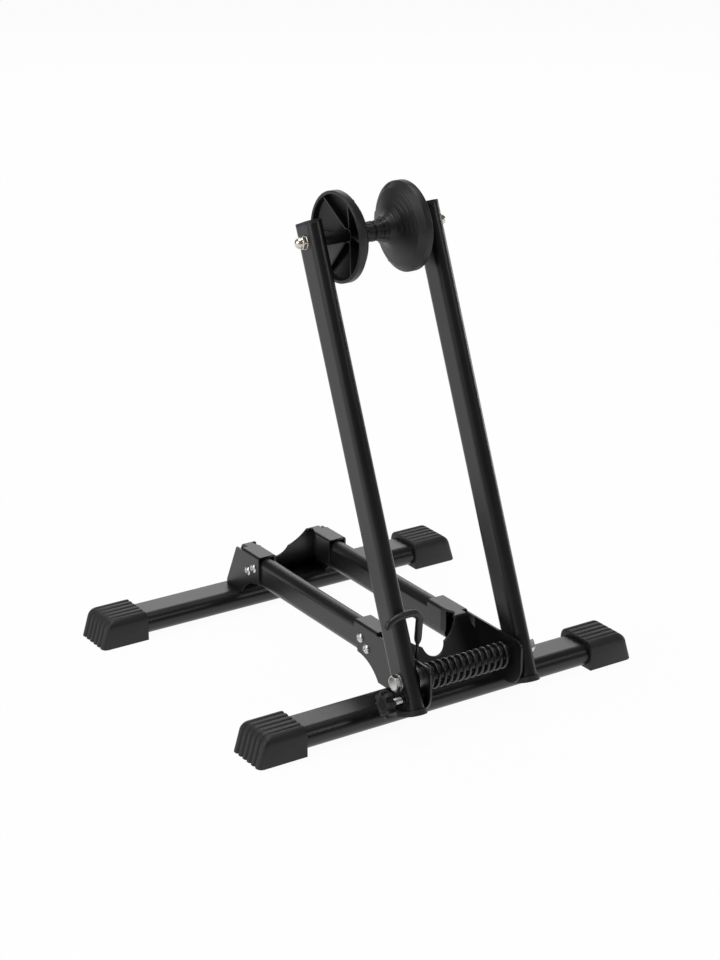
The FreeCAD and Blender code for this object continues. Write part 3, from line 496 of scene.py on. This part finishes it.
ROLLER_BORE, NECK, FLARE, SLOPE = 4.1, 8.3, 18.7, math.radians(68)
RIM, OUTSIDE, WALL, HUB, HUB_END = 40.0, 37.2, 3.0, 6.5, 25.5
BEND, BAND, ROLLER_SIDES = 34.0, 30.2, 360
NECK_END, NECK_RINGS = 13, (1.0, 2.9, 4.9, 6.3, 8.0, 9.6, 11.6)
RIDGE_RADII = (15.2, 19.5, 24.0, 28.5, 33.0)
SCOOPS, SCOOP_SPREAD = (math.radians(38), math.radians(-62)), math.radians(31)
SCOOP_TOP, SCOOP_DROP, SCOOP_RIM, SCOOP_DEPTH = 38.2, 12.2, 38.6, 1.3
RIB_TURN = math.radians(-35)


def flare_point(offset, angle):
    """A point (x, radius) on the arc that leads from the neck to the cone, offset into the wall."""
    radius = FLARE + offset
    return 2.3 + radius * math.cos(angle), NECK + FLARE + radius * math.sin(angle)


def between(start, end, steps):
    """Points from just after start up to end, evenly apart."""
    return [tuple(a + (b - a) * i / steps for a, b in zip(start, end)) for i in range(1, steps + 1)]


def roller_rows():
    """The roller's closed outline (x, radius), and how many of its rows make the running face."""
    face = [(0.2 + 2.1 * i / 7, NECK) for i in range(7)]
    face += [flare_point(0, -math.pi / 2 + SLOPE * i / 54) for i in range(55)]
    end_x, end_r = face[-1]
    bend_x = end_x + (BEND - end_r) / math.tan(SLOPE)
    face += between((end_x, end_r), (bend_x, BEND), 44)
    face += between((bend_x, BEND), (BAND, RIM - 0.5), 22)
    count = len(face)
    edge = [(BAND + 0.1, RIM - 0.25), (BAND + 0.5, RIM), (OUTSIDE - 0.5, RIM), (OUTSIDE, RIM - 0.5)]
    in_end = flare_point(WALL, SLOPE - math.pi / 2)
    corner = in_end[0] + (RIM - WALL - in_end[1]) / math.tan(SLOPE)
    back = [(OUTSIDE, RIM - WALL + 0.4), (OUTSIDE - 0.4, RIM - WALL), (corner + 1.4, RIM - WALL),
            (corner + 0.1, RIM - WALL - 1.2), in_end]
    low = math.acos((NECK + FLARE - HUB) / (FLARE + WALL)) - math.pi / 2
    high = SLOPE - math.pi / 2
    back += [flare_point(WALL, high + (low - high) * i / 24) for i in range(1, 25)]
    hub = [(HUB_END - 0.4, HUB), (HUB_END, HUB - 0.4), (HUB_END, ROLLER_BORE)]
    return [(0.2, ROLLER_BORE)] + face + edge + back + hub, count


def bell(distance, width):
    """1 at no distance, falling to about a third at the width."""
    return math.exp(-(distance / width) ** 2)


def face_depth(x, radius, angle):
    """How far the running face is pressed in (mm): rings and notches on the neck, short ridges
    on the cone and two leaf-shaped scoops by the rim."""
    depth = 0.0
    if x < NECK_END:
        notch = 0.5 + 0.5 * math.cos(angle * 9)
        for i, ring_x in enumerate(NECK_RINGS):
            proud = 0.85 if i % 2 == 0 else 0.55
            depth -= bell(x - ring_x, 0.45) * proud * (1 - 0.8 * notch ** 4)
    turn = (math.degrees(angle) + 360) % 360
    for i, ridge in enumerate(RIDGE_RADII):
        for middle, reach in ((118 + 5 * math.sin(i * 2.3), 20), (166, 13)):
            depth += bell(radius - ridge, 0.4) * 0.4 * math.exp(-((turn - middle) / reach) ** 6)
    for middle in SCOOPS:
        across = math.atan2(math.sin(angle - middle), math.cos(angle - middle)) / SCOOP_SPREAD
        if abs(across) < 1:
            inner = SCOOP_TOP - SCOOP_DROP * (1 - across ** 2) ** 0.8
            reach = radius - inner
            if 0 < reach and radius < SCOOP_RIM:
                share = reach / (SCOOP_RIM - inner)
                depth += SCOOP_DEPTH * min(1, reach / 0.6) * (1 - share) ** 0.8
                depth += SCOOP_DEPTH * bell(reach - 0.7, 0.6)
    return depth


def roller(name, way, spin_centre, cad_node):
    """One hollow roller that points to the side that way gives, with its ribs."""
    rows, face_count = roller_rows()

    def pressed(row, angle):
        x, radius = rows[row]
        if not 1 <= row <= face_count:
            return x, radius
        before, after = rows[max(row - 1, 1)], rows[row + 1]
        along, out = after[0] - before[0], after[1] - before[1]
        length = math.hypot(along, out)
        depth = face_depth(x, radius, angle)
        return x + out / length * depth, radius - along / length * depth

    shell = turned(rows, ROLLER_SIDES, pressed, closed=True)
    piece = put(name, shell, spin_centre, way, sharp=34)
    finish(piece, roller_finish, "black_plastic", cad_node, cad_node)
    ribs = roller_ribs(name + "_ribs", way, spin_centre)
    finish(ribs, roller_finish, "black_plastic", cad_node)


def roller_ribs(name, way, spin_centre):
    """Six tapering ribs whose free edges run from the rim down to the hub."""
    half = WALL / 2
    in_end = flare_point(half, SLOPE - math.pi / 2)
    top = RIM - half
    corner = in_end[0] + (top - in_end[1]) / math.tan(SLOPE)
    outline = [flare_point(half, -math.pi / 2 + SLOPE * i / 20) for i in range(21)]
    outline += [(corner, top), (OUTSIDE - 1.5, top), (HUB_END - 1.2, HUB - 1.5)]
    bm = bmesh.new()
    sides = []
    for sign in (-1, 1):
        flank = []
        for x, radius in outline:
            free = min(1, max(0, (x - 4) / 30))
            flank.append(bm.verts.new(mm(way * x, sign * (1.15 - 0.3 * free), radius)))
        sides.append(flank)
    bm.faces.new(sides[0][::-1])
    bm.faces.new(sides[1])
    for i in range(len(outline)):
        after = (i + 1) % len(outline)
        bm.faces.new((sides[0][i], sides[0][after], sides[1][after], sides[1][i]))
    b = Builder("ribs_round_an_axle")
    count = b.size("Rib count", 6, "NodeSocketInt")
    first = b.size("First turn", RIB_TURN)
    centre = b.size("Centre", tuple(spin_centre), "NodeSocketVector")
    spots = b.node("GeometryNodePoints", None, {"Count": count, "Position": centre})
    step = b.node("ShaderNodeMath", {"operation": "DIVIDE"}, {0: 2 * math.pi, 1: count})
    index = b.node("GeometryNodeInputIndex")
    turn = b.node("ShaderNodeCombineXYZ", None, {"X": index * step + first})
    ribs = b.node("GeometryNodeInstanceOnPoints", None,
                  {"Points": spots, "Instance": b.shape, "Rotation": turn})
    return b.made(name, from_bmesh(name, bm), ribs, roller_finish)


# ---------------------------------------------------------------- fasteners

UPRIGHT_OUTER, BOLT_HEX, CAP_HEX, HEX_SIDES, RIVET_HEAD = 67.5, 13, 10.8, 192, 4.5


def hexed(rows, width, turn=0.0, closed=False):
    """Turned rows that are cut by a hexagon, as wide across its flats as width says, where their
    third value is 1."""
    plain = [(x, radius) for x, radius, _ in rows]

    def shape(row, angle):
        x, radius, is_hex = rows[row]
        flat = width / 2 / math.cos((angle + turn) % (math.pi / 3) - math.pi / 6)
        return x, min(radius, flat) if is_hex else radius

    return turned(plain, HEX_SIDES, shape, closed)


def pivot_bolt_and_nut():
    """The pivot's bolt with its chamfered head, and the open nut on its other end."""
    shank_end, shank = -2 * UPRIGHT_OUTER - 8.4, 3.95
    head = [(shank_end, 0, 0), (shank_end, 3.2, 0), (shank_end + 0.6, shank, 0), (-0.2, shank, 0),
            (0, 7.6, 0), (0.5, 7.6, 0), (0.7, 7.5, 1), (4.7, 7.5, 1), (5.0, 7.2, 1), (5.3, 6.6, 1),
            (5.3, 5.4, 0), (5.15, 5.0, 0), (5.15, 0, 0)]
    piece = put("pivot_bolt_zinc", hexed(head, BOLT_HEX), pivot - mm(UPRIGHT_OUTER, 0, 0), -1)
    finish(piece, FINISHES["zinc_plated_steel"], "zinc_plated_steel", "uprights", "pivot_bolt")
    nut = [(0, 4.0, 0), (0, 8, 0), (0.8, 8, 0), (1.4, 7.5, 0), (1.4, 7.5, 1), (5.6, 7.5, 1),
           (6.2, 6.9, 1), (6.5, 6.1, 0), (6.5, 4.6, 0), (6.1, 4.0, 0)]
    piece = put("pivot_nut_zinc", hexed(nut, BOLT_HEX, closed=True),
                pivot + mm(UPRIGHT_OUTER, 0, 0), 1)
    finish(piece, FINISHES["zinc_plated_steel"], "zinc_plated_steel", "uprights", "pivot_nut")


def cap_nuts():
    """Domed nuts with a flange on both ends of the axle."""
    turns = [math.pi / 2 * i / 12 for i in range(12)]
    dome = [(4.6 + 5.0 * math.sin(turn), 5.0 * math.cos(turn), 0) for turn in turns]
    solid = [(0, 0, 0), (0, 6.2, 0), (0.6, 6.2, 0), (0.8, 6.3, 1), (3.7, 6.3, 1), (4.2, 5.8, 1),
             (4.5, 5.1, 0)] + dome + [(9.6, 0, 0)]
    for side, way in (("left", -1), ("right", 1)):
        piece = put(f"axle_cap_nut_{side}", hexed(solid, CAP_HEX, math.radians(12)),
                    axle + mm(way * UPRIGHT_OUTER, 0, 0), way)
        finish(piece, nickel_finish, "zinc_plated_steel", "uprights", f"cap_nut_{side}")


def rivets():
    """Blind rivets with domed heads and a recessed stem, two a side on each bracket."""
    rows = [(41.4, 0), (41.4, 2.7), (41.9, 3.3), (45.4, 3.3), (45.4, 2.4), (49.0, 2.4), (49.0, 4.5),
            (49.3, 4.5), (49.75, 4.3), (50.25, 3.8), (50.65, 3.1), (50.88, 2.3), (50.9, 1.75),
            (50.6, 1.5), (50.1, 1.4), (50.05, 0)]
    for end, rising in (("front", 1), ("rear", -1)):
        node = f"{end}_bracket_rivets"
        low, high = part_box(node)
        reach = RIVET_HEAD * MM
        first = (0, low.y + reach, low.z + reach if rising > 0 else high.z - reach)
        step = (0, high.y - low.y - 2 * reach, rising * (high.z - low.z - 2 * reach))
        b = Builder("rivets_in_pairs")
        place = b.size("First rivet", first, "NodeSocketVector")
        apart = b.size("Next rivet", step, "NodeSocketVector")
        index = b.node("GeometryNodeInputIndex")
        two = b.node("GeometryNodePoints", None, {"Count": 2})
        about = b.node("ShaderNodeCombineXYZ", None, {"Z": index * math.pi})
        pair = b.node("GeometryNodeInstanceOnPoints", None,
                      {"Points": two, "Instance": b.shape, "Rotation": about})
        moved = b.node("ShaderNodeVectorMath", {"operation": "SCALE"}, {0: apart, "Scale": index})
        spot = b.node("ShaderNodeVectorMath", {"operation": "ADD"}, {0: place, 1: moved})
        rowed = b.node("GeometryNodePoints", None, {"Count": 2, "Position": spot})
        all_four = b.node("GeometryNodeInstanceOnPoints", None, {"Points": rowed, "Instance": pair})
        mesh = from_bmesh("rivet", turned(rows, 48))
        piece = b.made(f"{end}_rivets", mesh, all_four, FINISHES["zinc_plated_steel"])
        finish(piece, FINISHES["zinc_plated_steel"], "zinc_plated_steel", "base", node)


# ---------------------------------------------------------------- lock screw and knob

SCREW_START, SCREW_END, SCREW_RADIUS, SCREW_PITCH = 49.3, 85.0, 2.98, 1.0
THREAD_DEPTH, THREAD_SIDES = 0.36, 40
KNOB_RADIUS, KNOB_LOBES, KNOB_FACE, KNOB_SIDES = 12.0, 8, 8.15, 480
NOTCH_RADIUS, NOTCH_AT = 2.1, 10.1


def threaded(rows_from, rows_to, radius, pitch):
    """Rows with a helical thread, and the shape that cuts it."""
    count = round((rows_to - rows_from) / pitch * 8)
    rows = [(rows_from, 0), (rows_from, radius - 0.7)]
    rows += [(rows_from + (rows_to - rows_from) * i / count, radius) for i in range(count + 1)]
    rows += [(rows_to, radius - 0.7), (rows_to, 0)]

    def shape(row, angle):
        x, out = rows[row]
        if out < radius:
            return x, out
        wave = (x / pitch + angle / (2 * math.pi)) % 1
        ease = min(1, min(x - rows_from, rows_to - x) / pitch)
        return x, out - THREAD_DEPTH * pitch * (1 - abs(2 * wave - 1)) - 0.4 * (1 - ease)

    return turned(rows, THREAD_SIDES, shape)


def lock_parts():
    """The threaded screw, and the knob whose rim is notched between its lobes."""
    screw_centre = Vector(JOINTS["lock_knob_turn"]["pos_m"])
    thread = threaded(SCREW_START, SCREW_END, SCREW_RADIUS, SCREW_PITCH)
    screw = put("lock_screw_zinc", thread, screw_centre, -1, sharp=60)
    finish(screw, FINISHES["zinc_plated_steel"], "zinc_plated_steel", "lock_screw", "lock_screw")
    neck = [(85, 0), (85, 3.05), (79, 3.05), (79, 5.6), (79.5, 6.2), (79.5, 6.9)]
    rim = [(79.6, 1.5), (79.9, 0.7), (80.5, 0.15), (81.1, 0), (86.0, 0), (86.7, 0.2),
           (87.3, 0.8), (87.6, 1.7)]
    face = [(87.7, 8.1), (88.0, 7.7), (88.0, 7.2), (87.6, 6.9), (87.2, 6.4), (87.05, 3.0),
            (87.0, 0)]
    whole = neck + [(x, KNOB_RADIUS - inset) for x, inset in rim] + face
    first, last = len(neck), len(neck) + len(rim)
    half = math.pi / KNOB_LOBES

    def lobes(row, angle):
        x, radius = whole[row]
        if not first <= row < last:
            return x, radius
        local = abs((angle + half) % (2 * half) - half)
        if local < math.asin(NOTCH_RADIUS / KNOB_RADIUS):
            aside = NOTCH_AT * math.sin(local)
            out = NOTCH_AT * math.cos(local) - math.sqrt(max(0, NOTCH_RADIUS ** 2 - aside ** 2))
        elif local < math.asin(NOTCH_RADIUS / NOTCH_AT):
            out = NOTCH_RADIUS / math.sin(local)
        else:
            out = KNOB_RADIUS
        return x, max(KNOB_FACE, out - (KNOB_RADIUS - radius))

    knob = put("lobed_knob", turned(whole, KNOB_SIDES, lobes), screw_centre, -1, sharp=40)
    finish(knob, FINISHES["black_plastic"], "black_plastic", "lock_knob", "lock_knob")


# ---------------------------------------------------------------- ribbed feet

HALF_WIDTH = 200
FOOT_LENGTH, FOOT_HALF, FOOT_TOP, FOOT_SLANT = 48, 22.5, 27.3, 8.3
FOOT_TOP_EDGE, FOOT_TOE_EDGE, FOOT_CORNER, FOOT_SLICES = 7.5, 4.5, 10, 100
GROOVES, GROOVE_HALF, TOP_GROOVE, TOE_GROOVE = [(k - 2) * 6.9 for k in range(5)], 2.1, 1.0, 1.6
SOCKET_DEPTH, SOCKET_WIDTH, SOCKET_HEIGHT, SOCKET_MIDDLE = 34.1, 40.2, 20.2, 12.5


def foot_inset(y, edge, deep):
    """How far the skin lies inside the plain block: its rounded sides and the soft grooves."""
    over = abs(y) - (FOOT_HALF - edge)
    inset = edge - math.sqrt(max(0, edge ** 2 - over ** 2)) if over > 0 else 0
    for groove in GROOVES:
        share = abs(y - groove) / GROOVE_HALF
        if share < 1:
            inset += deep * (0.5 + 0.5 * math.cos(math.pi * share))
    return inset


def foot_slice(y):
    """The foot's outline at one place across it, from the tube's side over the end to the floor."""
    inset = foot_inset(y, FOOT_TOP_EDGE, TOP_GROOVE)
    top, lean = FOOT_TOP - inset, math.atan2(FOOT_SLANT, FOOT_TOP)
    toe = FOOT_LENGTH - foot_inset(y, FOOT_TOE_EDGE, TOE_GROOVE) / math.cos(lean)
    shoulder = toe - top * math.tan(lean)
    radius = max(1.5, FOOT_CORNER - inset)
    turn = math.pi / 2 - lean
    reach = radius * math.tan(turn / 2)
    centre = (shoulder - reach, top - radius)
    points = [(0, 0), (0, top - 1.2), (0.35, top - 0.35), (1.2, top)]
    for i in range(13):
        angle = math.pi / 2 - turn * i / 12
        points.append((centre[0] + radius * math.cos(angle), centre[1] + radius * math.sin(angle)))
    low = 0.4
    return points + [(toe - low * math.tan(lean), low), (toe - 0.8, 0)]


def block_of(slices):
    """A closed mesh through outlines (x, y, z) of as many points each."""
    bm = bmesh.new()
    join(bm, [[bm.verts.new(mm(*point)) for point in outline] for outline in slices])
    return bm


def tube_socket():
    """The flat-oval bore that the tube's end sits in."""
    flat, end = (SOCKET_WIDTH - SOCKET_HEIGHT) / 2, SOCKET_HEIGHT / 2
    oval = []
    for side in (1, -1):
        for i in range(25):
            angle = side * math.pi / 2 - math.pi * i / 24
            y, z = side * flat + end * math.cos(angle), SOCKET_MIDDLE + end * math.sin(angle)
            oval.append((y, z))
    return block_of([[(x, y, z) for y, z in oval] for x in (-6, SOCKET_DEPTH)])


def feet():
    """Four ribbed feet, each bored for its tube."""
    across = [FOOT_HALF * (2 * k / FOOT_SLICES - 1) for k in range(FOOT_SLICES + 1)]
    slices = [[(x, y, z) for x, z in foot_slice(y)] for y in across]
    for node in ("foot_front_left", "foot_front_right", "foot_rear_left", "foot_rear_right"):
        low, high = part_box(node)
        way = 1 if low.x > 0 else -1
        place = Vector((way * (HALF_WIDTH - FOOT_LENGTH) * MM, (low.y + high.y) / 2, 0))
        foot = put(f"ribbed_{node}", block_of(slices), place, way)
        bore = put("bore", tube_socket(), place, way)
        cut = foot.modifiers.new("socket", "BOOLEAN")
        cut.operation, cut.solver, cut.object = "DIFFERENCE", "EXACT", bore
        bpy.context.view_layer.update()
        bored = foot.evaluated_get(bpy.context.evaluated_depsgraph_get())
        mesh = bpy.data.meshes.new_from_object(bored)
        foot.modifiers.remove(cut)
        foot.data = mesh
        bpy.data.objects.remove(bore)
        mesh.shade_smooth()
        mesh.set_sharp_from_angle(angle=math.radians(40))
        finish(foot, FINISHES["black_plastic"], "black_plastic", "base", node)


# ---------------------------------------------------------------- studio and camera

VIEW_AZIMUTH = math.radians(33.30)
VIEW_ELEVATION = math.radians(21.03)
VIEW_DISTANCE = 2.08871
VIEW_TARGET = Vector((-0.00986, -0.00747, 0.17673))
VIEW_LENS = 116.86
WHITE = (1, 1, 1, 1)
FLOOR_REACH = 8


def camera():
    """The camera at the photo's viewing angle."""
    data = bpy.data.cameras.new("photo_camera")
    data.sensor_fit = "HORIZONTAL"
    data.sensor_width = 36
    data.lens = VIEW_LENS
    data.clip_end = 20
    eye = bpy.data.objects.new("photo_camera", data)
    forward = Vector((
        math.sin(VIEW_AZIMUTH) * math.cos(VIEW_ELEVATION),
        math.cos(VIEW_AZIMUTH) * math.cos(VIEW_ELEVATION),
        -math.sin(VIEW_ELEVATION),
    ))
    right = Vector((math.cos(VIEW_AZIMUTH), -math.sin(VIEW_AZIMUTH), 0))
    up = right.cross(forward)
    turn = Matrix((right, up, -forward)).transposed()
    eye.matrix_world = Matrix.Translation(VIEW_TARGET - forward * VIEW_DISTANCE) @ turn.to_4x4()
    bpy.context.scene.collection.objects.link(eye)
    bpy.context.scene.camera = eye


def softbox(name, where, size, power, target=(0, 0, 0.15)):
    """A soft lamp that faces the rack and isn't seen itself."""
    data = bpy.data.lights.new(name, "AREA")
    data.shape = "RECTANGLE"
    data.size, data.size_y = size
    data.energy = power
    lamp = bpy.data.objects.new(name, data)
    lamp.visible_camera = False
    lamp.location = where
    lamp.rotation_euler = (Vector(target) - Vector(where)).to_track_quat("-Z", "Y").to_euler()
    bpy.context.scene.collection.objects.link(lamp)


def studio():
    """A pale floor that keeps the rack's shadow, a dim white world, and the lamps."""
    f = Finish("studio_floor")
    f.set(Base_Color=(0.9, 0.9, 0.9, 1), Roughness=0.9)
    seen = f.node("ShaderNodeLightPath", output="Is Camera Ray")
    mirrored = f.node("ShaderNodeLightPath", output="Is Glossy Ray")
    white = f.node("ShaderNodeEmission", None, {"Color": WHITE, "Strength": 1.0})
    share = (seen + mirrored) * 0.96
    plain = Sock(f, f.surface.outputs[0])
    mixed = f.node("ShaderNodeMixShader", None, {0: share, 1: plain, 2: white})
    f.feed(f.tree.nodes["Material Output"].inputs["Surface"], mixed)
    mesh = bpy.data.meshes.new("studio_floor")
    reach = FLOOR_REACH
    corners = [(-reach, -reach, 0), (reach, -reach, 0), (reach, reach, 0), (-reach, reach, 0)]
    mesh.from_pydata(corners, [], [(0, 1, 2, 3)])
    floor = shown("studio_floor", mesh)
    dress(floor, f.material)
    world = bpy.data.worlds.new("studio_world")
    bpy.context.scene.world = world
    world.use_nodes = True
    world.node_tree.nodes.clear()
    w = NodeMaker(world.node_tree)
    seen = w.node("ShaderNodeLightPath", output="Is Camera Ray")
    lit = w.node("ShaderNodeBackground", None, {"Color": WHITE, "Strength": 0.12})
    white = w.node("ShaderNodeBackground", None, {"Color": WHITE, "Strength": 1.0})
    mixed = w.node("ShaderNodeMixShader", None, {0: seen, 1: lit, 2: white})
    w.feed(w.tree.nodes.new("ShaderNodeOutputWorld").inputs["Surface"], mixed)
    softbox("left_softbox", (-2.2, 0.3, 1.3), (1.6, 1.6), 26)
    softbox("top_softbox", (-0.2, 0.3, 2.6), (1.6, 1.6), 34)
    softbox("back_softbox", (1.5, 2.5, 1.25), (3.0, 1.4), 26)
    softbox("right_strip", (2.3, 0.0, 0.34), (0.3, 0.55), 5)
    softbox("front_softbox", (1.0, -1.5, 1.35), (0.5, 0.4), 3)


camera()
spring()
sleeve()
roller("roller_left_moulding", -1, axle, "roller_left")
roller("roller_right_moulding", 1, axle, "roller_right")
pivot_bolt_and_nut()
cap_nuts()
rivets()
lock_parts()
feet()
studio()
bpy.context.scene.view_settings.view_transform = "Standard"
